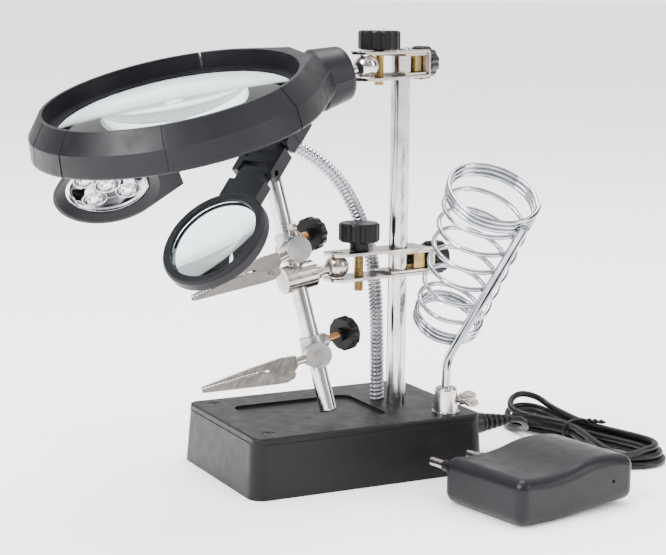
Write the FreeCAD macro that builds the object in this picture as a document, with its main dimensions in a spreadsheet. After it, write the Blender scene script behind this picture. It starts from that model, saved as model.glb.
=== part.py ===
import FreeCAD, Part
import math
import os

from FreeCAD import Placement, Rotation, Vector
import Sketcher

# Bench stand with a large magnifier, a small swing-out magnifier, a gooseneck LED lamp, two
# alligator clips on a cross rod, a soldering iron holder and a wall adapter on its cord.
#
# Frame: origin at the centre of the base's underside, +Z up, +X along the base's long edge
# towards the iron holder, -Y towards the user.  Lengths are millimetres.

DIMENSIONS = {
    # base
    "base_length": 105.2, "base_width": 72.9, "base_height": 24.2, "base_draft": 3.6,
    "base_corner": 6.0, "wall": 2.2, "floor_thickness": 2.6, "cover_thickness": 2.6,
    "tray_length": 54.0, "tray_width": 38.0, "tray_depth": 1.2, "tray_corner": 5.0,
    "screw_head_radius": 2.1, "screw_radius": 1.2, "boss_radius": 3.4,
    "foot_radius": 4.5, "foot_thickness": 1.0,
    # post and its brackets
    "post_radius": 4.0, "post_top": 172.0, "post_foot": 3.2,
    "strip_thickness": 1.2, "strip_width": 13.0, "plate_gap": 9.0, "ball_reach": 31.0,
    "clamp_reach": 20.0, "bend_reach": 14.5, "ball_radius": 4.9, "seat_radius": 2.5,
    "knob_radius": 8.4, "lock_knob_radius": 7.0, "knob_height": 7.6, "knob_hub_radius": 3.9, "knob_hub_height": 3.6,
    "clamp_screw_radius": 2.0, "screw_clearance": 0.25, "running_clearance": 0.06,
    # magnifier
    "lens_radius": 46.0, "opening_radius": 48.8, "ring_radius": 56.5, "ring_height": 16.0,
    "lens_edge": 2.4, "lens_crown": 5.0, "neck_radius": 10.4, "neck_end": 71.0,
    # small lens
    "hinge_pin_radius": 1.1, "small_lens_radius": 17.0, "small_frame_radius": 20.5, "small_frame_height": 4.8,
    # gooseneck and lamp
    "gooseneck_radius": 3.0, "shade_radius": 21.0, "shade_depth": 13.0, "led_radius": 2.5,
    "reflector_radius": 15.0,
    # iron holder
    "coil_wire_radius": 0.95, "coil_bottom_radius": 13.2, "coil_top_radius": 18.0,
    "coil_length": 71.0, "support_radius": 1.85, "socket_radius": 5.1, "socket_top_radius": 4.5,
    "socket_height": 11.0,
    # cross rod, blocks and clips
    "rod_radius": 3.4, "block_radius": 5.6, "small_knob_radius": 7.0, "small_knob_height": 4.6,
    "small_screw_radius": 1.5, "sheet_thickness": 0.6, "clip_width": 6.4,
    # power supply
    "cord_radius": 1.4, "adapter_length": 60.0, "adapter_width": 44.0, "adapter_height": 21.0,
    "adapter_wave": 2.4, "plug_pin_radius": 1.7, "plug_pin_length": 13.5,
    "plug_shroud_length": 7.0,
    "battery_radius": 5.25, "battery_length": 44.5,
}

doc = FreeCAD.newDocument("HelpingHands")
sheet = doc.addObject("Spreadsheet::Sheet", "Sizes")
for row, (alias, amount) in enumerate(DIMENSIONS.items(), start=1):
    sheet.set(f"A{row}", alias)
    sheet.set(f"B{row}", str(amount))
    sheet.setAlias(f"B{row}", alias)
doc.recompute()

X_AXIS = Vector(1, 0, 0)
Y_AXIS = Vector(0, 1, 0)
Z_AXIS = Vector(0, 0, 1)
HERE = Placement()


class Size:
    """A number together with the spreadsheet expression that gives it."""

    def __init__(self, amount, text):
        self.amount = float(amount)
        self.text = text

    def __float__(self):
        return self.amount

    def __add__(self, other):
        return Size(self.amount + float(other), f"({self.text} + {expression(other)})")

    def __sub__(self, other):
        return Size(self.amount - float(other), f"({self.text} - {expression(other)})")

    def __mul__(self, other):
        return Size(self.amount * float(other), f"({self.text} * {expression(other)})")

    def __truediv__(self, other):
        return Size(self.amount / float(other), f"({self.text} / {expression(other)})")

    def __neg__(self):
        return Size(-self.amount, f"(0 - {self.text})")

    def __rsub__(self, other):
        return Size(float(other) - self.amount, f"({expression(other)} - {self.text})")

    __radd__ = __add__
    __rmul__ = __mul__


def expression(size):
    """The spreadsheet expression of a Size or of a plain number."""
    if isinstance(size, Size):
        return size.text
    return f"({float(size)})"


def size(alias):
    """The spreadsheet cell of that name as a Size."""
    return Size(DIMENSIONS[alias], f"Sizes.{alias}")


# ---------------------------------------------------------------- building blocks

def bind(obj, **sizes):
    """Set properties of an object and tie each one to its spreadsheet expression."""
    for prop, value in sizes.items():
        setattr(obj, prop, float(value))
        if isinstance(value, Size):
            obj.setExpression(prop, value.text)
    return obj


def placed(obj, at=(0, 0, 0), axis=Z_AXIS, turn=None):
    """Put an object at a point, with its own Z along an axis or with a given rotation."""
    rotation = turn if turn is not None else Rotation(Z_AXIS, Vector(axis))
    obj.Placement = Placement(Vector(*[float(c) for c in at]), rotation)
    return obj


def cylinder(radius, height, at=(0, 0, 0), axis=Z_AXIS):
    rod = bind(doc.addObject("Part::Cylinder", "Cylinder"), Radius=radius, Height=height)
    return placed(rod, at, axis)


def cone(radius_low, radius_high, height, at=(0, 0, 0), axis=Z_AXIS):
    taper = bind(doc.addObject("Part::Cone", "Cone"),
                 Radius1=radius_low, Radius2=radius_high, Height=height)
    return placed(taper, at, axis)


def ball(radius, at=(0, 0, 0)):
    return placed(bind(doc.addObject("Part::Sphere", "Ball"), Radius=radius), at)


def box(length, width, height, at=(0, 0, 0)):
    """A box whose base is centred on a point."""
    block = bind(doc.addObject("Part::Box", "Box"), Length=length, Width=width, Height=height)
    x, y, z = (float(c) for c in at)
    return placed(block, (x - float(length) / 2, y - float(width) / 2, z))


def fuse(*parts):
    joined = doc.addObject("Part::MultiFuse", "Fuse")
    joined.Shapes = list(parts)
    joined.Refine = True
    return joined


def cut(base, *tools):
    """A shape less one or more tools."""
    removed = doc.addObject("Part::Cut", "Cut")
    removed.Base = base
    removed.Tool = tools[0] if len(tools) == 1 else fuse(*tools)
    removed.Refine = True
    return removed


def common(*parts):
    shared = doc.addObject("Part::MultiCommon", "Common")
    shared.Shapes = list(parts)
    return shared


def group(*parts):
    """Separate solids kept together as one object."""
    held = doc.addObject("Part::Compound", "Group")
    held.Links = list(parts)
    return held


def drawn(name, shape):
    """A shape made by Part's own functions, as an object of the document."""
    feature = doc.addObject("Part::Feature", name)
    feature.Shape = shape
    return feature


def sketch_on(body, plane, points):
    """A closed outline on one of a body's own origin planes, each corner tied to its sizes."""
    sketch = body.newObject("Sketcher::SketchObject", "Outline")
    origin_plane = [f for f in body.Origin.OriginFeatures if f.Role == plane][0]
    sketch.AttachmentSupport = [(origin_plane, "")]
    sketch.MapMode = "FlatFace"
    corners = [Vector(float(x), float(y), 0) for x, y in points]
    last = len(points) - 1
    for index, corner in enumerate(corners):
        following = corners[0 if index == last else index + 1]
        sketch.addGeometry(Part.LineSegment(corner, following))
    for index in range(len(points)):
        following = 0 if index == last else index + 1
        sketch.addConstraint(Sketcher.Constraint("Coincident", index, 2, following, 1))
    for index, point in enumerate(points):
        for kind, coordinate in zip(("DistanceX", "DistanceY"), point):
            amount = float(coordinate)
            number = sketch.addConstraint(Sketcher.Constraint(kind, -1, 1, index, 1, amount))
            if isinstance(coordinate, Size):
                sketch.setExpression(f"Constraints[{number}]", coordinate.text)
    return sketch


def turned(points):
    """A body revolved about Z from an outline of (radius, height) corners."""
    body = doc.addObject("PartDesign::Body", "Turned")
    sketch = sketch_on(body, "XZ_Plane", points)
    spin = body.newObject("PartDesign::Revolution", "Revolution")
    spin.Profile = sketch
    spin.ReferenceAxis = (sketch, ["V_Axis"])
    spin.Angle = 360
    sketch.Visibility = False
    return body


def extruded(points, depth, plane="XY_Plane", centred=False, draft=0):
    """A body padded from an outline; the pad may be centred on its plane or drafted inwards."""
    body = doc.addObject("PartDesign::Body", "Extruded")
    sketch = sketch_on(body, plane, points)
    pad = body.newObject("PartDesign::Pad", "Pad")
    pad.Profile = sketch
    bind(pad, Length=depth)
    pad.Midplane = centred
    if draft:
        bind(pad, TaperAngle=-draft)
    return body


def fillet_body(body, radius, chosen):
    """Round a body's edges for which chosen(edge) is true."""
    doc.recompute()
    tip = body.Tip
    names = [f"Edge{i}" for i, edge in enumerate(tip.Shape.Edges, start=1) if chosen(edge)]
    rounding = body.newObject("PartDesign::Fillet", "Fillet")
    rounding.Base = (tip, names)
    bind(rounding, Radius=radius)
    body.Tip = rounding
    return body


def rounded(obj, radius, chosen):
    """Round the edges of a boolean or primitive for which chosen(edge) is true."""
    doc.recompute()
    rounding = doc.addObject("Part::Fillet", "Rounded")
    rounding.Base = obj
    amount = float(radius)
    edges = enumerate(obj.Shape.Edges, start=1)
    rounding.Edges = [(i, amount, amount) for i, edge in edges if chosen(edge)]
    return rounding


def rectangle(length, width):
    """The corners of a rectangle centred on the origin."""
    x, y = length / 2, width / 2
    return [(-x, -y), (x, -y), (x, y), (-x, y)]


def upright(edge):
    """True of an edge that runs mostly along Z."""
    start, end = edge.Vertexes[0].Point, edge.Vertexes[-1].Point
    return abs(end.z - start.z) > 0.9 * edge.Length


def level_at(height):
    """A test for edges that lie at one height."""
    return lambda edge: all(abs(v.Point.z - float(height)) < 1e-4 for v in edge.Vertexes)


NODES = []


def node(label, obj, frame=HERE):
    """Name a finished sub-part and carry it from its own frame into the object's frame."""
    obj.Label = label
    obj.Placement = frame.multiply(obj.Placement)
    NODES.append(obj)
    return obj


def frame_at(point, turn=Rotation()):
    return Placement(Vector(*[float(c) for c in point]), turn)


def threaded_rod(radius, length, pitch=0.8, depth=0.25):
    """A screw's shank as a turned rod with one ridge for each turn of its thread."""
    crest, root = float(radius), float(radius) - depth
    outline = [Vector(0, 0, 0), Vector(root, 0, 0)]
    turns = int(float(length) / pitch)
    for turn in range(turns):
        outline.append(Vector(crest, 0, (turn + 0.5) * pitch))
        outline.append(Vector(root, 0, (turn + 1) * pitch))
    outline += [Vector(root, 0, float(length)), Vector(0, 0, float(length)), Vector(0, 0, 0)]
    if outline[-4].isEqual(outline[-3], 1e-6):
        outline.pop(-4)
    face = Part.Face(Part.makePolygon(outline))
    return drawn("Thread", face.revolve(Vector(), Z_AXIS, 360))


def scalloped_knob(radius, height, flutes, flute_radius, bore=None):
    """A round knob with finger flutes around its rim, its axis along Z."""
    edge = 0.7
    rim = turned([(0, 0), (radius - edge, 0), (radius, edge), (radius, height - edge),
                  (radius - edge, height), (0, height)])
    tools = []
    reach = float(radius) + float(flute_radius) * 0.45
    for index in range(flutes):
        angle = 2 * math.pi * index / flutes
        tools.append(cylinder(flute_radius, height + 2,
                              (reach * math.cos(angle), reach * math.sin(angle), -1)))
    if bore is not None:
        tools.append(cylinder(bore, height + 2, (0, 0, -1)))
    return cut(rim, *tools)


# ---------------------------------------------------------------- places

POST_X, POST_Y = 28.0, -2.5
SOCKET_X, SOCKET_Y = 37.9, -27.0
GOOSENECK_FOOT = Vector(24.4, 7.0, 0)
UPPER_LEVEL, LOWER_LEVEL = 165.3, 84.4
CASE_SCREWS = [(-42.0, 27.0), (-42.0, -27.0)]

UPPER_BRACKET = frame_at((POST_X, POST_Y, UPPER_LEVEL), Rotation(214.4, 0, 0))
LOWER_BRACKET = frame_at((POST_X, POST_Y, LOWER_LEVEL), Rotation(188.0, 0, 0))
BALL_REACH = Vector(DIMENSIONS["ball_reach"], 0, 0)

# The magnifier's frame: X runs from the lens centre along the neck, Z is the lens axis, and
# the ball of its stud lies on the neck's axis.
MAGNIFIER_TURN = Rotation(-4.4, -14.5, 6.9)
NECK_DROP = 13.0
BALL_FROM_LENS = Vector(79.5, 0, -NECK_DROP)
UPPER_BALL = UPPER_BRACKET.multVec(BALL_REACH)
MAGNIFIER = Placement(UPPER_BALL - MAGNIFIER_TURN.multVec(BALL_FROM_LENS), MAGNIFIER_TURN)

# The lower ball's stud runs along X of its frame and the cross rod along Z.
LOWER_BALL = LOWER_BRACKET.multVec(BALL_REACH)
ROD_TURN = Rotation(183.8, 9.0, 12.7)
STUD = Placement(LOWER_BALL, ROD_TURN)
ROD_REACH = 19.0
ROD = STUD.multiply(frame_at((ROD_REACH, 0, 0)))


# ---------------------------------------------------------------- base

def build_base():
    length, width, height = size("base_length"), size("base_width"), size("base_height")
    wall, floor, lid = size("wall"), size("floor_thickness"), size("cover_thickness")
    draft, corner = size("base_draft"), size("base_corner")
    lean = math.tan(math.radians(float(draft)))
    split = height - lid

    outer = extruded(rectangle(length, width), split, draft=draft)
    fillet_body(outer, corner, upright)
    hollow = extruded(rectangle(length - wall * 2, width - wall * 2), height, draft=draft)
    fillet_body(hollow, corner - wall, upright)
    placed(hollow, (0, 0, floor))
    bosses = []
    for x, y in CASE_SCREWS:
        bosses.append(cylinder(size("boss_radius"), split - floor, (x, y, floor)))
    bosses.append(cylinder(size("post_radius") + 1.2, split - floor - 1, (POST_X, POST_Y, floor)))
    for x, y in BOARD_POSTS:
        bosses.append(cylinder(1.8, BOARD_LEVEL - floor, (x, y, floor)))
    bores = [cylinder(size("screw_radius"), 9, (x, y, split - 9)) for x, y in CASE_SCREWS]
    bores.append(cylinder(size("post_radius") + 0.05, height, (POST_X, POST_Y, size("post_foot"))))
    for x, y in FEET:
        bores.append(cylinder(size("foot_radius"), size("foot_thickness"), (x, y, 0)))
    recess_width = DOOR_WIDTH + 0.6 + DOOR_TRAVEL
    bores.append(box(DOOR_LENGTH + 0.6, recess_width, DOOR_THICKNESS + 0.3, (DOOR_X, DOOR_TRAVEL / 2, 0)))
    bores.append(box(DOOR_LENGTH - 2, DOOR_WIDTH - 3, 4, (DOOR_X, 0, 0)))
    bores.append(cylinder(JACK_RADIUS, 12, (46, JACK_Y, JACK_Z), X_AXIS))
    bores.append(box(SWITCH_TRAVEL + 7, 10, 5, (SWITCH_X, 36, SWITCH_Z - 2.5)))
    case = cut(fuse(cut(outer, hollow), *bosses), *bores)
    node("base_case", case)

    inset = lean * float(split) + SEAM_STEP
    cover = extruded(rectangle(length - 2 * inset, width - 2 * inset), lid, draft=draft)
    fillet_body(cover, corner - inset, upright)
    fillet_body(cover, 0.8, level_at(lid))
    tray = extruded(rectangle(size("tray_length"), size("tray_width")), 5)
    fillet_body(tray, size("tray_corner"), upright)
    placed(tray, (TRAY_X, TRAY_Y, lid - size("tray_depth")))
    openings = [tray,
                cylinder(size("post_radius") + 0.05, 9, (POST_X, POST_Y, -2)),
                cylinder(size("gooseneck_radius") + 0.15, 9, (GOOSENECK_FOOT.x, GOOSENECK_FOOT.y, -2)),
                cylinder(size("socket_radius") * 0.5, 9, (SOCKET_X, SOCKET_Y, -2))]
    for x, y in CASE_SCREWS:
        openings.append(cylinder(size("screw_radius") + 0.2, 9, (x, y, -2)))
        openings.append(cylinder(size("screw_head_radius") + 0.25, 5, (x, y, lid - 1.3)))
    node("top_cover", cut(cover, *openings), frame_at((0, 0, split)))


SEAM_STEP = 0.3
FEET = [(-46.0, -30.0), (-46.0, 30.0), (46.0, -30.0), (46.0, 30.0)]
TRAY_X, TRAY_Y = -11.0, 0.0
DOOR_X, DOOR_LENGTH, DOOR_WIDTH, DOOR_THICKNESS, DOOR_TRAVEL = -22.5, 35.4, 48.0, 1.4, 4.0
BOARD_POSTS, BOARD_LEVEL = [(20.5, -24.0), (43.5, -20.0)], 12.5
JACK_Y, JACK_Z, JACK_RADIUS = -10.0, 13.0, 4.4
SWITCH_X, SWITCH_Z, SWITCH_TRAVEL = -20.0, 12.0, 4.0


def build_base_hardware():
    for_screw = []
    split = size("base_height") - size("cover_thickness")
    for x, y in CASE_SCREWS:
        head = cylinder(size("screw_head_radius"), 1.1, (x, y, size("base_height") - 1.3))
        shank = cylinder(size("screw_radius"), 10, (x, y, split - 8))
        slot = box(3.0, 0.6, 1, (x, y, size("base_height") - 0.8))
        cross = box(0.6, 3.0, 1, (x, y, size("base_height") - 0.8))
        for_screw.append(cut(fuse(head, shank), slot, cross))
    node("cover_screws", group(*for_screw))
    feet = [cylinder(size("foot_radius") - 0.1, size("foot_thickness"), (x, y, 0)) for x, y in FEET]
    node("rubber_feet", group(*feet))

    rod = cylinder(size("post_radius"), size("post_top") - size("post_foot"),
                   (0, 0, size("post_foot")))
    bevel = rounded(rod, 0.6, level_at(size("post_top")))
    node("post", bevel, frame_at((POST_X, POST_Y, 0)))

    cells = []
    length = float(size("battery_length"))
    for index in (-1, 0, 1):
        x = DOOR_X + index * 10.9
        z = DOOR_THICKNESS + 0.6 + float(size("battery_radius"))
        cell = cylinder(size("battery_radius"), size("battery_length") - 1, (x, -length / 2, z), Y_AXIS)
        tip = cylinder(1.9, size("battery_length"), (x, -length / 2, z), Y_AXIS)
        cells.append(fuse(cell, tip))
    node("battery_cells", group(*cells))
    door = box(DOOR_LENGTH, DOOR_WIDTH, DOOR_THICKNESS, (DOOR_X, 0, 0))
    ribs = [box(16, 1.0, 3, (DOOR_X, 12 + 2.2 * i, -2.6)) for i in range(4)]
    node("battery_door", cut(door, *ribs))

    board = box(28, 16, 1.6, (32, -24, BOARD_LEVEL))
    parts = [box(5, 5, 3, (26, -26, BOARD_LEVEL + 1.6)), cylinder(2.5, 3.5, (34, -25, BOARD_LEVEL + 1.6)),
             box(3, 6, 2, (40, -21, BOARD_LEVEL + 1.6))]
    switch = cut(box(16, 6, 8, (SWITCH_X, 30.2, SWITCH_Z - 4)),
                 box(SWITCH_TRAVEL + 4.2, 4, 3.6, (SWITCH_X, 32.4, SWITCH_Z - 1.8)))
    node("driver_board", group(fuse(board, *parts), switch))

    barrel = turned([(1.6, 0), (4.2, 0), (4.2, 11), (2.9, 11), (2.9, 2), (1.6, 2)])
    pin = cylinder(0.6, 9, (0, 0, 0.4))
    web = cylinder(2.0, 0.8, (0, 0, 0.2))
    node("dc_jack", fuse(barrel, web, pin), frame_at((40.4, JACK_Y, JACK_Z), Rotation(Z_AXIS, X_AXIS)))

    slider = fuse(box(3.6, 5.6, 3.0, (SWITCH_X - SWITCH_TRAVEL / 2, 33.6, SWITCH_Z - 1.5)),
                  box(2.4, 2.0, 2.4, (SWITCH_X - SWITCH_TRAVEL / 2, 37.0, SWITCH_Z - 1.2)))
    node("switch_slider", slider)


build_base()
build_base_hardware()

# ---------------------------------------------------------------- post brackets

def build_bracket(side, frame, knob_gap, hub_height, screw_drop):
    """A folded strip that grips the post at one end and a stud's ball at the other."""
    gap, strip, width = size("plate_gap"), size("strip_thickness"), size("strip_width")
    reach, bend = size("ball_reach"), size("bend_reach")
    half = gap / 2
    nose = reach + 4.5
    fold = [(-bend, -half - strip), (nose, -half - strip), (nose, -half), (-bend + strip, -half),
            (-bend + strip, half), (nose, half), (nose, half + strip), (-bend, half + strip)]
    strip_body = extruded(fold, width, plane="XZ_Plane", centred=True)
    fillet_body(strip_body, 2.2, lambda e: outer_fold(e, float(bend), float(half + strip)))
    fillet_body(strip_body, 1.0, lambda e: outer_fold(e, float(bend - strip), float(half)))
    fillet_body(strip_body, 4.5, lambda e: upright(e) and e.Vertexes[0].Point.x > float(reach))
    holes = [cylinder(size("post_radius") + size("running_clearance"), 30, (0, 0, -15)),
             cylinder(size("clamp_screw_radius") + size("screw_clearance"), 30,
                      (size("clamp_reach"), 0, -15)),
             cylinder(size("seat_radius"), 30, (reach, 0, -15)),
             cylinder(size("clamp_screw_radius") + size("screw_clearance"), 6, (-bend - 3, 0, 0), X_AXIS)]
    node(f"{side}_bracket", cut(strip_body, *holes), frame)

    play = 0.1
    rise = half - play
    thin = 1.0
    inner_bend = bend - strip - play
    shoe_end = 7.5
    fold = [(-inner_bend, -rise), (shoe_end, -rise), (shoe_end, -rise + thin),
            (-inner_bend + thin, -rise + thin), (-inner_bend + thin, rise - thin),
            (shoe_end, rise - thin), (shoe_end, rise), (-inner_bend, rise)]
    shoe_body = extruded(fold, width - 1.6, plane="XZ_Plane", centred=True)
    fillet_body(shoe_body, 1.4, lambda e: outer_fold(e, float(inner_bend), float(rise)))
    shoe = cut(shoe_body,
               cylinder(size("post_radius") + size("running_clearance"), 30, (0, 0, -15)),
               cylinder(size("clamp_screw_radius") + size("screw_clearance"), 6, (-bend - 3, 0, 0), X_AXIS))
    node(f"{side}_shoe", shoe, frame)

    nut = cut(box(5.6, 7.4, gap - 2.6, (-8.5, 0, -half + 1.3)),
              cylinder(size("clamp_screw_radius") + 0.1, 20, (-18, 0, 0), X_AXIS))
    node(f"{side}_block_nut", nut, frame)

    lock = frame.multiply(frame_at((-float(bend) - 0.6, 0, 0), Rotation(Z_AXIS, -X_AXIS)))
    knob = scalloped_knob(size("lock_knob_radius"), size("knob_height"), 12, 1.2,
                          bore=size("clamp_screw_radius"))
    shank_length = float(bend) + 0.6 - float(size("post_radius")) - 0.35
    shank = placed(threaded_rod(size("clamp_screw_radius"), shank_length + 6), (0, 0, -shank_length))
    node(f"{side}_lock_knob", group(knob, shank), lock)

    top = float(half + strip) + knob_gap
    clamp = frame.multiply(frame_at((float(size("clamp_reach")), 0, top)))
    cap = scalloped_knob(size("knob_radius"), size("knob_height"), 14, 1.3)
    if hub_height:
        placed(cap, (0, 0, hub_height))
        cap = fuse(cap, cylinder(size("knob_hub_radius"), hub_height + 0.2))
    pocket = cylinder(size("clamp_screw_radius"), 4 + hub_height, (0, 0, -1))
    node(f"{side}_clamp_knob", cut(cap, pocket), clamp)
    drop = 2 * top - knob_gap + screw_drop
    screw = placed(threaded_rod(size("clamp_screw_radius"), drop + 2.9 + hub_height), (0, 0, -drop))
    node(f"{side}_clamp_screw", screw, clamp)


def outer_fold(edge, bend, half):
    """True of the two lateral edges where a folded strip turns its corner."""
    ends = [v.Point for v in edge.Vertexes]
    return all(abs(p.x + bend) < 0.01 and abs(abs(p.z) - half) < 0.01 for p in ends) \
        and abs(ends[0].z - ends[-1].z) < 0.01


build_bracket("upper", UPPER_BRACKET, 0.4, 0.0, 2.0)
build_bracket("lower", LOWER_BRACKET, 0.3, 3.6, 5.0)

# ---------------------------------------------------------------- magnifier

LENS_LEVEL = -9.0
SEAM_GAP = 0.15
GROOVE_ANGLES = (57, 113, 158, 180, 202, 247, 303)


def egg(body, radius, reach, half_width):
    """An egg outline: a round end about the origin and straight sides to a flat nose."""
    sketch = body.newObject("Sketcher::SketchObject", "Egg")
    origin_plane = [f for f in body.Origin.OriginFeatures if f.Role == "XY_Plane"][0]
    sketch.AttachmentSupport = [(origin_plane, "")]
    sketch.MapMode = "FlatFace"
    r, x, y = float(radius), float(reach), float(half_width)
    distance = math.hypot(x, y)
    touch = math.atan2(y, x) + math.acos(r / distance)
    upper = Vector(r * math.cos(touch), r * math.sin(touch), 0)
    lower = Vector(upper.x, -upper.y, 0)
    circle = Part.Circle(Vector(), Z_AXIS, r)
    arc = sketch.addGeometry(Part.ArcOfCircle(circle, touch, 2 * math.pi - touch))
    low = sketch.addGeometry(Part.LineSegment(lower, Vector(x, -y, 0)))
    nose = sketch.addGeometry(Part.LineSegment(Vector(x, -y, 0), Vector(x, y, 0)))
    high = sketch.addGeometry(Part.LineSegment(Vector(x, y, 0), upper))
    for first, following in ((arc, low), (low, nose), (nose, high), (high, arc)):
        sketch.addConstraint(Sketcher.Constraint("Coincident", first, 2, following, 1))
    sketch.addConstraint(Sketcher.Constraint("Coincident", arc, 3, -1, 1))
    number = sketch.addConstraint(Sketcher.Constraint("Radius", arc, r))
    if isinstance(radius, Size):
        sketch.setExpression(f"Constraints[{number}]", radius.text)
    for end, along, across in ((1, x, -y), (2, x, y)):
        sketch.addConstraint(Sketcher.Constraint("DistanceX", -1, 1, nose, end, along))
        sketch.addConstraint(Sketcher.Constraint("DistanceY", -1, 1, nose, end, across))
    return sketch


def egg_body(radius, reach, half_width, depth, draft):
    body = doc.addObject("PartDesign::Body", "EggBody")
    pad = body.newObject("PartDesign::Pad", "Pad")
    pad.Profile = egg(body, radius, reach, half_width)
    bind(pad, Length=depth, TaperAngle=-draft)
    return body


def housing_solid(shrink):
    """The magnifier's egg-shaped ring, without its neck, shrunk all round by a small amount."""
    height, ring = size("ring_height"), size("ring_radius") - shrink
    skirt_height = height * 0.55
    skirt = egg_body(ring, 60 - shrink, 13.5 - shrink, skirt_height, 6)
    fillet_body(skirt, 1.2, level_at(0))
    crown_radius = ring - float(skirt_height) * math.tan(math.radians(6))
    crown = egg_body(crown_radius, 59 - shrink, 12.6 - shrink, height - skirt_height, 37)
    placed(skirt, (0, 0, -height))
    placed(crown, (0, 0, skirt_height - height))
    return fuse(skirt, crown)


def lower_space(gap):
    """The space of the lower housing: a disc under the lens and the lower half of the neck."""
    disc = cylinder(size("ring_radius") - 4.2 + gap, 40, (0, 0, LENS_LEVEL - SEAM_GAP / 2 + gap - 40))
    half_neck = box(40, 60, 30, (70 - gap, 0, -NECK_DROP - SEAM_GAP / 2 + gap - 30))
    return fuse(disc, half_neck)


def build_magnifier():
    ring, lens = size("ring_radius"), size("lens_radius")
    opening, neck, end = size("opening_radius"), size("neck_radius"), size("neck_end")
    shoulder = cone(4.0, neck + 2.0, 22, (36, 0, -NECK_DROP), X_AXIS)
    barrel = cone(neck + 2.0, neck, end - 58, (58, 0, -NECK_DROP), X_AXIS)
    barrel = rounded(barrel, 3.0, lambda e: all(abs(v.Point.x - float(end)) < 0.01 for v in e.Vertexes))
    grooves = []
    for angle in GROOVE_ANGLES:
        way = Rotation(angle, 0, 0)
        grooves.append(placed(box(40, 0.9, 40), way.multVec(Vector(35, -0.45, -20)), turn=way))
    panel_lines = cut(fuse(*grooves), housing_solid(0.4))
    outside = fuse(cut(housing_solid(0), panel_lines), shoulder, barrel)

    groove = size("lens_edge") + 0.8
    bore = cylinder(opening, 40, (0, 0, LENS_LEVEL + 2.1))
    throat = cylinder(lens - 1.4, 60, (0, 0, -40))
    seat = cylinder(lens + 0.15, groove, (0, 0, LENS_LEVEL - groove / 2))
    flare = cylinder(opening, 40, (0, 0, LENS_LEVEL - 43))
    cavity = turned([(opening + 2.0, -14.2), (ring - 2.6, -14.2), (ring - 3.4, -7.4),
                     (opening + 2.0, -5.6)])
    stem = cylinder(size("clamp_screw_radius") + size("running_clearance"), 30, (58, 0, -NECK_DROP),
                    X_AXIS)
    anchor = cylinder(3.4, 1.7, (62.9, 0, -NECK_DROP), X_AXIS)
    shell = cut(outside, bore, throat, seat, flare, cavity, stem, anchor)
    node("housing_upper", cut(shell, lower_space(SEAM_GAP)), MAGNIFIER)
    node("housing_lower", common(drawn_again(shell), lower_space(0)), MAGNIFIER)

    crown_height = float(size("lens_crown"))
    bulge = (float(lens) ** 2 + crown_height ** 2) / (2 * crown_height)
    offset = bulge - crown_height - float(size("lens_edge")) / 2
    blank = cylinder(lens, 14, (0, 0, LENS_LEVEL - 7))
    glass = common(blank, ball(bulge, (0, 0, LENS_LEVEL - offset)), ball(bulge, (0, 0, LENS_LEVEL + offset)))
    node("main_lens", glass, MAGNIFIER)

    stud = fuse(ball(size("ball_radius"), (79.5, 0, -NECK_DROP)),
                cylinder(size("clamp_screw_radius"), 17, (62, 0, -NECK_DROP), X_AXIS),
                cylinder(3.2, 1.4, (63.05, 0, -NECK_DROP), X_AXIS))
    node("upper_ball_stud", stud, MAGNIFIER)


def drawn_again(obj):
    """A second use of an object's shape, so that each half of a shell has a source of its own."""
    link = doc.addObject("Part::Compound", "Again")
    link.Links = [obj]
    return link


build_magnifier()

# Small lens: X of its frame runs from the hinge to the lens centre, Z is the lens axis and Y
# the hinge pin.
SMALL_HINGE = MAGNIFIER.multVec(Vector(23.3, -36.1, -20.5))
SMALL = Placement(SMALL_HINGE, Rotation(-154.9, 45.8, 0.4))
SWIVEL_REACH = 14.0
SMALL_LENS_REACH = 46.0


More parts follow.
